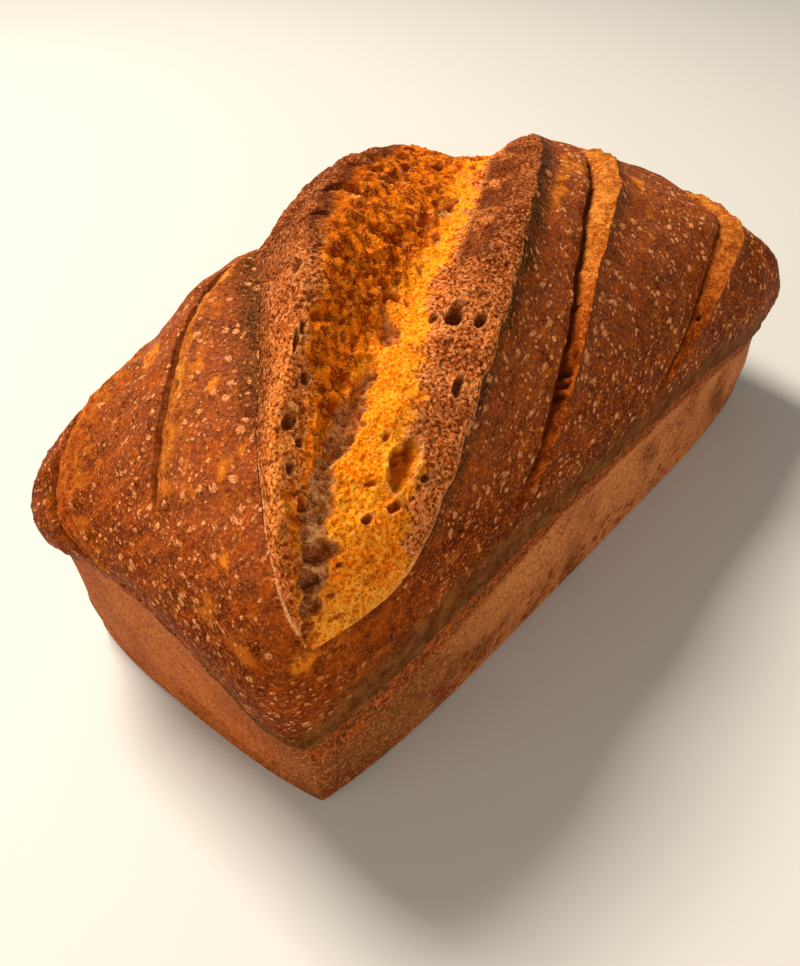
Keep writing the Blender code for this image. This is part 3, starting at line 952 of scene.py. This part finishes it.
def divided_cylinder():
    """A cylinder without its top, with its upright edges divided into rows."""
    bpy.ops.object.select_all(action="DESELECT")
    bpy.ops.mesh.primitive_cylinder_add(vertices=ROUND, radius=1.0, depth=2.0, end_fill_type="NGON")
    piece = bpy.context.object
    piece.name = piece.data.name = "tin_baked_shell"
    bpy.ops.object.mode_set(mode="EDIT")
    bpy.ops.mesh.select_mode(type="FACE")
    bpy.ops.mesh.select_all(action="DESELECT")
    bpy.ops.object.mode_set(mode="OBJECT")
    for polygon in piece.data.polygons:
        polygon.select = len(polygon.vertices) > 4 and polygon.center.z > 0
    bpy.ops.object.mode_set(mode="EDIT")
    bpy.ops.mesh.delete(type="ONLY_FACE")
    bpy.ops.mesh.select_mode(type="EDGE")
    bpy.ops.mesh.select_all(action="DESELECT")
    bpy.ops.object.mode_set(mode="OBJECT")
    height = [v.co.z for v in piece.data.vertices]
    for edge in piece.data.edges:
        a, b = edge.vertices
        edge.select = abs(height[a] - height[b]) > 1.0
    bpy.ops.object.mode_set(mode="EDIT")
    bpy.ops.mesh.subdivide(number_cuts=WALL_ROWS - 1)
    bpy.ops.object.mode_set(mode="OBJECT")
    return piece


def edge_of_sheet(turn):
    """Place on the sheet's edge for a turn of the cylinder, so that corners get their share."""
    lap = np.mod(np.rint(turn / (2 * math.pi) * ROUND) / ROUND * 4.0, 4.0)
    corners = np.cumsum([0.0, SHORT_SHARE / 2, LONG_SHARE, SHORT_SHARE, LONG_SHARE, SHORT_SHARE / 2])
    return np.interp(lap, corners, [1, 1, -1, -1, 1, 1]), np.interp(lap, corners, [0, 1, 1, -1, -1, 0])


def tin_shell():
    """The wall on its base: rows 0 and 1 round off the foot, the last row tucks in."""
    piece = divided_cylinder()
    x, y, z = places(piece).T
    s, t = edge_of_sheet(np.arctan2(y, x))
    row = np.rint((z + 1) / 2 * WALL_ROWS)
    kinds = [row == 0, row == 1, row < WALL_ROWS, row >= WALL_ROWS]
    top = lip_height(s, t)
    wall = FOOT_RISE + (top - FOOT_RISE) * (row - 2) / (WALL_ROWS - 3)
    height = np.select(kinds, [0.0, FOOT_EDGE, wall, top + TUCK_RISE])
    inward = np.select(kinds, [BASE_ROUND, FOOT_EDGE, 0.0, TUCK])
    points = tin_wall(s, t, height)
    points[:, :2] *= 1 - inward[:, None] / np.linalg.norm(points[:, :2], axis=1, keepdims=True)
    put(piece, points)
    tin_detail(piece, points, t, top - height, (row > 1) & (row < WALL_ROWS))
    return piece

# %% Waves and pits of the tin-baked wall
WALL_WAVES = ((0.30, 26.0, 2.0), (0.12, 6.0, 9.0))  # height, size and seed
WALL_INSET = 0.35
PIT_DEPTH = 0.45
PIT_CELL = 4.6


def tin_detail(piece, points, t, below_lip, held):
    """Shallow waves and pits on the rows that are held, and the numbers the finish reads."""
    x, up, below = points[:, 0] / MM, points[:, 2] / MM, below_lip / MM
    long_side = np.abs(t) > 0.99
    slack = between(below, 0.0, 4.0) * between(up, 0.0, 3.0)
    near = foam(points, PIT_CELL, seed=4.0) + 0.10 * rough(points, 1.6, seed=27.0)
    low_down = between(up, 1.0, 3.0) * within(up, 11.0, 20.0)
    region = between(x, -95.0, -55.0) * (0.3 + 0.7 * long_side)
    pit = within(near, 0.20, 0.34) * low_down * (0.35 + 0.65 * region)
    relief = (layers(points, WALL_WAVES) - WALL_INSET - PIT_DEPTH * pit) * slack * held
    raise_by(piece, points, relief)
    x, y = places(piece).T[:2] / MM
    reach = 4.0 + long_side * (13.0 - 9.0 * between(x, -100.0, -20.0))
    near_corner = between(-y, 22.0, 46.0)
    paint(piece,
          pit=pit * slack,
          rim=smooth(1.25 * (1 - below / reach)),
          pale=0.85 * long_side * between(x, -100.0, -40.0),
          # end wall partly warmer in colour, partly painted light, with painted shade near the front
          # corner
          warm=between(-x, 113.0, 119.0) * (1 - 0.7 * near_corner))


shell = tin_shell()
dress(shell, tin_baked)

# %% [markdown]
# The dome's crust is two sheets, left and right of the burst, that meet beyond its two ends. Each is
# a grid laid along the slashes. The form is set first; then lumps of several sizes move every vertex
# along its own normal, and the torn faces of the slashes get a coarser grain.

# %% Lines that bound the bands of crust
def level(value):
    """A line that keeps one distance across."""
    return lambda along: value + 0 * along


def shifted(line, by):
    """A line moved across by a constant."""
    return lambda along: line(along) + by


def crack_of(cut):
    """The crack of a slash as a line."""
    return lambda along: crack(along, cut)


def lip_of(cut):
    """The lip of a slash as a line."""
    return lambda along: lip(along, cut)


OVERLAP = 0.8


def seam(line, side):
    """The edge of the burst, which beyond its ends runs a little past the seam."""
    def edge(along):
        past = np.maximum(-along, along - BURST_LENGTH)
        return line(along) + side * OVERLAP * smooth(past / 4.0)
    return edge


# %% Marks of the lesser slashes
FACE_SLACK = 0.05


def slash_marks(along, across, nearby):
    """Masks of the slashes' faces, glow, feet, crack shadows, dark backs and golden lips."""
    marks = {name: np.zeros(len(along)) for name in
             ("torn", "glow", "foot", "crack_shadow", "scorch", "golden")}

    def mark(name, values):
        marks[name] = np.maximum(marks[name], values)

    for cut in SLASHES:
        at = across - crack(along, cut)
        width = lip(along, cut) - crack(along, cut)
        here = between(strength(along, cut), 0.15, 0.40)
        face = (at > -FACE_SLACK) & (at < width + FACE_SLACK)
        first, run = cut["glow"]
        glow = between(along + 6 * nearby, first, first + run)
        marks["glow"] = np.where(face, glow, marks["glow"])
        mark("foot", face * within(at / width, 0.45, 0.85) * here)
        # A painted shadow along each crack.
        mark("crack_shadow", within(np.abs(at - 0.1) + 0.25 * nearby, 0.25, 0.85) * here)
        # A dark strip on the crack side and on the lips' backs: partly burned, partly painted shade.
        mark("scorch", (at <= 0) * within(-at, 0.0, 1.1) * here * 0.75)
        burnt_and_shaded = (at >= width) * within(at - width, 0.0, 4.5) * here
        if cut["gentle"]:
            mark("torn", face * here * within(at / width + 0.4 * nearby, 0.75, 1.05))
            mark("scorch", 0.18 * burnt_and_shaded)
            mark("golden", (at > 0) * within(at - width + 1.5 * nearby, -0.5, 5.0) * here)
        else:
            mark("torn", face * here)
            mark("scorch", 0.45 * burnt_and_shaded)
    return marks

# %% Scorched, banded and golden crust
def beside_burst(along, across, nearby):
    """Dark crust, burned and in painted shade: the ridge's back and the left edge of the burst."""
    burst = smooth(8 * arch(along / BURST_LENGTH, 1.0))
    past = across - ridge(along)
    on_ridge = (past >= 0) * within(past + nearby, 1.0, 6.0)
    before = left_edge(along) - across
    on_left = (before >= 0) * between(along, 36.0, 60.0) * within(before + 2 * nearby, 1.5, 7.5)
    return most(on_ridge, 0.9 * on_left) * burst


def tin_band(s, sides, ends, wobble):
    """The grey brown band just above the tin, which widens towards the far end; partly painted shade.
    """
    far = between(s, -0.2, 0.9)
    return most(within(sides + 3.5 * wobble, 4.0 + 3.0 * far, 18.0 + 9.0 * far),
                within(ends + 2.0 * wobble, 1.5 + 2.0 * far, 9.5 + 13.0 * far))


GOLDEN_PATCHES = (  # along, across, half length, half width, in millimetres
    (133.8, 31.0, 11.0, 4.0), (113.5, 28.9, 9.0, 2.4), (133.2, 49.7, 4.0, 2.2),
    (120.0, 52.7, 2.4, 1.6), (58.2, -30.7, 2.6, 1.2), (48.1, -32.2, 1.2, 1.0),
    (41.0, -19.3, 1.8, 0.9), (39.3, -33.9, 2.6, 1.2), (18.3, -18.9, 2.2, 1.3),
    (35.5, -22.9, 2.0, 1.4), (64.5, -36.6, 2.6, 1.6), (84.0, -52.0, 3.6, 2.0),
    (-5.5, 1.0, 4.0, 5.0),
)


def golden_crust(points, along, across, nearby, lips):
    """Golden patches in the listed places, small ones from noise, and the golden lips of two slashes.
    """
    gold = np.zeros(len(points))
    for at_along, at_across, half_length, half_width in GOLDEN_PATCHES:
        far = np.hypot((along - at_along) / half_length, (across - at_across) / half_width)
        gold = most(gold, within(far + 0.8 * nearby, 0.4, 1.25))
    return most(gold,
                0.35 * between(rough(points, 5.0, seed=77.0), 0.45, 0.60),
                0.75 * lips * between(rough(points, 2.6, seed=79.0), -0.35, 0.35))

# %% Relief of the crust
CRUST_LUMPS = ((0.40, 15.0, 1.0), (0.22, 6.0, 5.0), (0.16, 2.4, 8.0), (0.07, 1.2, 18.0))
TORN_GRAIN = ((0.36, 1.7, 21.0), (0.20, 0.9, 23.0))
CRUST_INSET = 0.42
BLISTER_RISE = 0.20
HOLE_DEPTH = 1.3
# the sleek patch where the burst starts, along and across, and its reach
SLEEK_PLACE = (-4.0, 6.0)
SLEEK_REACH = 20.0


def crust_detail(piece, along, across):
    """Lumps and grain of the crust, and the numbers its finish reads."""
    s, t = on_sheet(along, across)
    points = places(piece)
    wobble = rough(points, 9.0, seed=12.0)
    nearby = rough(points, 3.0, seed=16.0)
    ends, sides = (1 - np.abs(s)) * SHEET_X / MM, (1 - np.abs(t)) * SHEET_Y / MM
    edge = np.minimum(ends, sides)
    marks = slash_marks(along, across, nearby)
    torn = marks["torn"]
    lip_end = 0.7 * (s < 0) * within(ends + wobble, 1.5, 7.0) * between(edge, 0.2, 1.0)
    # The dark backs, the burst's edges and the end's lip: partly burned crust, partly painted shade.
    back = most(marks["scorch"], beside_burst(along, across, nearby), lip_end)
    band = tin_band(s, sides, ends, wobble)
    gold = golden_crust(points, along, across, nearby, marks["golden"])
    off_centre = (along - SLEEK_PLACE[0]) ** 2 + (across - SLEEK_PLACE[1]) ** 2
    sleek = np.exp(-off_centre / SLEEK_REACH**2)
    blister = (1 - 0.7 * sleek) * bubbles(along, across, size=3.4, stretch=1.0, seed=14.0,
                                          share=0.60, low=0.17, high=0.40)
    holes = marks["foot"] * bubbles(along, across, size=3.4, stretch=1.4, seed=33.0,
                                    share=0.80, low=0.16, high=0.36)
    crusty = layers(points, CRUST_LUMPS) + BLISTER_RISE * blister
    grained = layers(points, TORN_GRAIN) - HOLE_DEPTH * holes
    relief = crusty * (1 - torn) + grained * torn - CRUST_INSET
    raise_by(piece, points, relief * smooth(edge / 2.5))
    paint(piece,
          torn=torn,
          glow=marks["glow"],
          # painted shade in the holes and along the cracks
          pit=most(holes, 0.85 * marks["crack_shadow"]),
          gold=gold * (1 - torn) * (1 - band) * (1 - back),
          # painted sheen on the higher crust
          high=between(points[:, 2] / MM, 58.0, 92.0) + 0.25 * wobble,
          scorch=back * (0.85 + 0.5 * wobble),
          band=band,
          blister=blister,
          sleek=sleek,
          # painted highlight on blister tops in the dimmer crust right of the burst
          dim=0.8 * between(across, 14.0, 30.0) * between(along, 20.0, 70.0))


def crust_sheet(name, columns, bands):
    """A sheet of crust, laid out in bands between the lines of the slashes."""
    piece, along, across = new_grid(name, *lay_out(columns, bands))
    put(piece, dome(along, across))
    crust_detail(piece, along, across)
    return piece

# %% Crust left of the burst
slash_1, slash_2, slash_4, slash_5 = SLASHES
LEFT_CORNER = -158.6
left_crust = crust_sheet("crust_left", 380, [
    (level(LEFT_CORNER), shifted(crack_of(slash_1), -LIP_FALL), 98),
    (shifted(crack_of(slash_1), -LIP_FALL), crack_of(slash_1), 12),
    (crack_of(slash_1), lip_of(slash_1), 14),
    (lip_of(slash_1), crack_of(slash_2), 62),
    (crack_of(slash_2), lip_of(slash_2), 10),
    (lip_of(slash_2), seam(left_edge, 1), 38),
])
dress(left_crust, crust)

# %% Crust right of the burst
RIGHT_CORNER = 187.6
right_crust = crust_sheet("crust_right", 396, [
    (seam(ridge, -1), shifted(ridge, RIDGE_FALL[0]), 12),
    (shifted(ridge, RIDGE_FALL[0]), crack_of(slash_4), 26),
    (crack_of(slash_4), lip_of(slash_4), 16),
    (lip_of(slash_4), crack_of(slash_5), 64),
    (crack_of(slash_5), lip_of(slash_5), 14),
    (lip_of(slash_5), level(RIGHT_CORNER), 108),
])
dress(right_crust, crust)

# %% [markdown]
# The crumb needs the finest grid of all. Besides the profile of the burst it has bubbles that were
# cut or torn open, placed where the photograph shows them, a ragged floor with a steep right bank,
# and a foam of small holes all over. The left and right parts are brown and the middle is golden,
# with amber strands on the left of the valley.

# %% Places and lines of the burst's crumb
HOLES = (  # along, across, half length, half width, depth, all in millimetres
    (68.9, 14.2, 3.0, 1.5, 1.9), (67.3, 18.8, 2.0, 1.1, 1.3), (69.2, 11.0, 1.0, 0.6, 0.8),
    (53.3, 17.7, 2.3, 0.9, 1.8), (106.5, -5.9, 2.6, 1.8, 1.8), (117.3, -6.1, 3.0, 1.0, 1.3),
    (96.2, -9.1, 1.8, 0.7, 0.9), (77.0, -12.0, 1.4, 0.7, 0.9), (70.9, -14.1, 1.1, 0.8, 0.8),
    (57.5, -10.8, 1.4, 0.6, 1.5), (59.8, -9.9, 0.9, 0.6, 0.8), (51.6, -6.6, 1.2, 0.8, 1.0),
    (43.9, -6.9, 2.3, 1.0, 1.4), (40.6, -4.4, 1.0, 0.65, 0.8), (36.3, -4.4, 0.9, 0.65, 0.8),
    (86.9, 0.0, 1.1, 0.9, 0.9), (74.3, 2.2, 1.3, 2.4, 1.3), (95.6, 2.7, 2.4, 1.4, 0.8),
    (46.0, 8.6, 0.9, 0.6, 0.7), (40.1, 11.9, 4.6, 2.0, 1.6), (36.2, 15.5, 1.0, 0.8, 0.7),
    (29.2, 8.5, 1.2, 0.8, 1.3), (30.6, 12.0, 1.6, 0.95, 1.3), (36.8, 7.9, 0.6, 0.8, 0.6),
    (31.8, -1.4, 1.8, 1.1, 1.6), (23.7, 3.0, 2.3, 2.5, 3.4), (17.7, 1.6, 2.8, 1.6, 3.0),
    (12.1, 2.3, 2.2, 1.4, 2.6), (6.9, 1.3, 2.0, 1.1, 2.0), (13.8, 4.8, 0.6, 0.7, 0.6),
    (21.1, 5.5, 0.6, 0.5, 0.7), (132.0, 12.0, 2.4, 1.2, 1.5), (146.0, -14.0, 2.0, 1.1, 1.3),
    (158.0, 8.0, 1.8, 1.0, 1.3), (140.0, 2.0, 2.2, 1.6, 1.4), (165.0, -4.0, 1.6, 1.2, 1.2),
)
CAVE = 2.0  # a hole deeper than this shows the torn floor
# knots of the lines that part the crumb: the torn floor's bank and foot, and where the colours change
BANK_KNOTS = ((0, 1.5), (12, 2.4), (20, 4.6), (29, 3.4), (34, 3.4), (40, 2.7), (47, 5.2), (56, 4.6),
              (64, 6.0), (75, 6.5), (110, 8.0), (192, 1.5))
FLOOR_KNOTS = ((0, 0.5), (14, -0.4), (24, -1.6), (36, -1.8), (48, -1.2), (58, 1.8), (75, 0.5),
               (110, 4.0), (192, 0.5))
BROWN_LEFT = ((0, 0.0), (16, -0.6), (25, -2.3), (31, -3.9), (36, -2.5), (44, -3.6), (55, -6.7),
              (60, -9.3), (66, -9.3), (78, -11.6), (95, -12.1), (118, -11.1), (150, -10), (192, 0))
BROWN_RIGHT = ((0, 6.0), (6, 13.0), (12, 17.0), (20, 14.5), (31, 13.5), (40, 14.0), (47, 10.9),
               (53, 11.8), (63, 10.1), (71, 9.3), (79, 8.8), (86, 10.8), (101, 9.9), (123, 8.7),
               (150, 9.0), (192, 1.0))
AMBER_RIGHT = ((0, 1.0), (20, 1.0), (45, 1.0), (58, 1.5), (75, 1.5), (85, 3.5), (101, 5.0),
               (123, 3.0), (150, 3.0), (192, 1.0))

# %% Masks of the crumb
def torn_holes(points, along, across):
    """Of the listed holes: bowls, deep floors, the rims around them, and depth."""
    bowls, floors, rims, depth = np.zeros((4, len(along)))
    skewed = 0.35 * rough(points, 2.0, seed=31.0)
    for at_along, at_across, half_length, half_width, deep in HOLES:
        near = ((np.abs(along - at_along) < 3 * half_length)
                & (np.abs(across - at_across) < 3 * half_width))
        far = skewed[near] + np.hypot((along[near] - at_along) / half_length,
                                      (across[near] - at_across) / half_width)
        bowl = within(far, 0.70, 1.15)
        rim = between(far, 0.95, 1.15) * within(far, 1.25, 1.55)
        for mask, values in ((bowls, bowl * (deep < CAVE)), (floors, bowl * (deep > CAVE)),
                             (rims, rim), (depth, deep * bowl)):
            mask[near] = most(mask[near], values)
    return bowls, floors, rims, depth


def torn_floor(points, along, across, wide, tight):
    """The ragged fissure along the valley's floor, broken into ravines farther up."""
    jag = 1.3 * wide + 0.7 * tight
    bank = through(along, BANK_KNOTS) + jag
    foot = through(along, FLOOR_KNOTS) - jag
    lower = smooth(along / 8.0) * within(along, 50.0, 64.0)
    ravines = 0.8 * between(rough(points, 6.0, seed=47.0), 0.10, 0.30) * (along > 50)
    return smooth((bank - across) / 0.9) * smooth((across - foot) / 1.6) * most(lower, ravines)


def browned_crumb(along, across, wide, tight):
    """Brown crumb on the left, brown crumb on either side, and the amber strands."""
    left = within(across + 1.4 * wide + tight - through(along, BROWN_LEFT), -0.8, 0.8)
    right = between(across + 2.2 * wide + 1.2 * tight - through(along, BROWN_RIGHT), -1.2, 1.6)
    amber = within(across + 2.5 * wide + 1.2 * tight - through(along, AMBER_RIGHT), -1.0, 1.5)
    return left, most(left, right), amber * (1 - most(left, right))


def smoked_crumb(points, along, across, wide):
    """Dark patches inside the ridge and along the shoulder, in the upper half of the burst."""
    stretch = between(along + 4 * wide, 72.0, 86.0) * within(along, 128.0, 150.0)
    patchy = between(rough(points, 5.0, seed=91.0), -0.6, 0.0)
    to_ridge = across - ridge(along)
    on_ridge = between(to_ridge, -12.5, -10.5) * within(to_ridge, -7.0, -4.0)
    on_shoulder = within(np.abs(across - through(along, BROWN_LEFT) + 1.0), 0.8, 2.8)
    return stretch * patchy * most(on_ridge, on_shoulder)


def shaded_crumb(along, from_left, to_right, wide, brown_left):
    """Painted shade: darker crumb near the crust on both sides, and on the shoulder farther up."""
    higher = along + 3 * wide
    return most(0.80 * within(from_left + wide, 1.0, 6.0) * between(along, 26.0, 44.0),
                0.85 * within(to_right - 0.8 * wide, 5.0, 9.5) * between(higher, 58.0, 92.0),
                0.90 * brown_left * between(higher, 46.0, 96.0))

# %% The burst's crumb
COLUMNS = 560
END_GAP = 0.4
SINK = 1.2
CRUMB_GRAIN = ((0.26, 1.25, 65.0), (0.22, 0.75, 67.0))
CRUMB_INSET = 0.45
EDGE_SINK = 0.9
POCK_DEPTH = 0.45
CAVE_DEPTH = 1.2
FOLD_RISE = 1.05
CURL_RISE = 0.40
FISSURE_DEPTH = 2.2


def crumb_detail(piece, points, along, across, sunk):
    """Foam, folds and holes of the crumb, and the numbers its finish reads."""
    from_left, to_right = across - left_edge(along), ridge(along) - across
    inner = smooth(np.minimum(from_left, to_right) / 1.6)
    tips = smooth(np.minimum(along, BURST_LENGTH - along) / 10.0)
    bowls, floors, rims, depth = torn_holes(points, along, across)
    wide = rough(points, 3.2, seed=41.0)
    tight = rough(points, 1.3, seed=43.0)
    fissure = torn_floor(points, along, across, wide, tight)
    brown_left, brown, amber = browned_crumb(along, across, wide, tight)
    pocks = bubbles(along, across, size=2.3, stretch=1.5, seed=51.0, share=0.50, low=0.16, high=0.36)
    caves = bubbles(along, across, size=4.4, stretch=1.3, seed=57.0, share=0.62, low=0.14, high=0.34)
    caves = caves * (0.35 + 0.65 * amber)
    folds = 1 - 2.0 * np.abs(rough(points, 4.2, seed=61.0))
    curls = 1 - 2.2 * np.abs(rough(points, 2.1, seed=63.0))
    relief = layers(points, CRUMB_GRAIN) * (1 - 0.6 * amber) + 0.35 * wide
    relief = relief - POCK_DEPTH * pocks * (1 - 0.5 * amber) - CAVE_DEPTH * caves
    relief = relief + (CURL_RISE * curls + FOLD_RISE * folds - 0.4) * amber
    relief = relief + 0.5 * CURL_RISE * curls * (1 - amber)
    relief = relief * (0.35 + 0.65 * inner) - CRUMB_INSET
    relief = relief - depth + 0.25 * rims - (FISSURE_DEPTH - 0.7 * curls) * fissure
    relief = relief * np.maximum(tips, 0.25) - EDGE_SINK * smooth(sunk / SINK)
    raise_by(piece, points, relief)

    smoked = smoked_crumb(points, along, across, wide)
    hollow = most(0.3 * between(floors + 0.5 * tight, 0.75, 1.1), 0.8 * smoked,
                  0.55 * fissure * between(along, 40.0, 54.0) * within(along, 84.0, 100.0))
    golden = (1 - brown) * (1 - 0.25 * within(along + 3 * wide, 12.0, 36.0))
    low_left = 0.15 * brown_left * within(along, 44.0, 70.0) * between(from_left, 1.5, 4.0)
    paint(piece,
          fibre=amber * (1 - fissure),
          torn=most(fissure, floors),
          # painted shade in the holes, caves, pocks and the fissure, and the smoked patches
          pit=most(0.9 * bowls, hollow, 0.8 * caves,
                   0.45 * pocks * (1 - amber) * between(along, 8.0, 34.0)),
          gold=golden + low_left,
          rim=most(within(np.abs(from_left), 0.2, 0.6) * within(along, 34.0, 44.0),
                   0.28 * within(to_right, 0.1, 0.5),
                   0.4 * rims * (1 - most(bowls, floors))),
          dusk=shaded_crumb(along, from_left, to_right, wide, brown_left))
    print("the crumb is", round(100 * float((golden > 0.5).mean())), "per cent golden")


def crumb_patch():
    """The sheet of crumb from edge to edge of the burst, with a sunk hem under the crust."""
    bands = [
        (shifted(left_edge, -SINK), left_edge, 3),
        (left_edge, shoulder, 42),
        (shoulder, valley, 50),
        (valley, ridge, 66),
        (ridge, shifted(ridge, SINK), 3),
    ]
    line = np.linspace(END_GAP, BURST_LENGTH - END_GAP, COLUMNS + 1)
    rows = np.array([a(line) * (1 - f) + b(line) * f for a, b, f in rows_of(bands)])
    piece, along, across = new_grid("burst_crumb", np.array([line] * len(rows)), rows)
    inside = np.clip(across, left_edge(along), ridge(along))
    points = dome(along, inside)
    put(piece, points)
    crumb_detail(piece, points, along, across, np.abs(across - inside))
    return piece


crumb_piece = crumb_patch()
dress(crumb_piece, crumb)

# %% [markdown]
# The floor is only a stage for the picture: a plain pale plane, which shows the loaf's shadow and
# throws a little light back at the walls.

# %% Finish of the floor
def floor_finish():
    f = Finish("pale_floor")
    return f.set(Base_Color=(*srgb(206, 203, 196), 1.0), Roughness=0.6)


floor.data.materials.append(floor_finish())
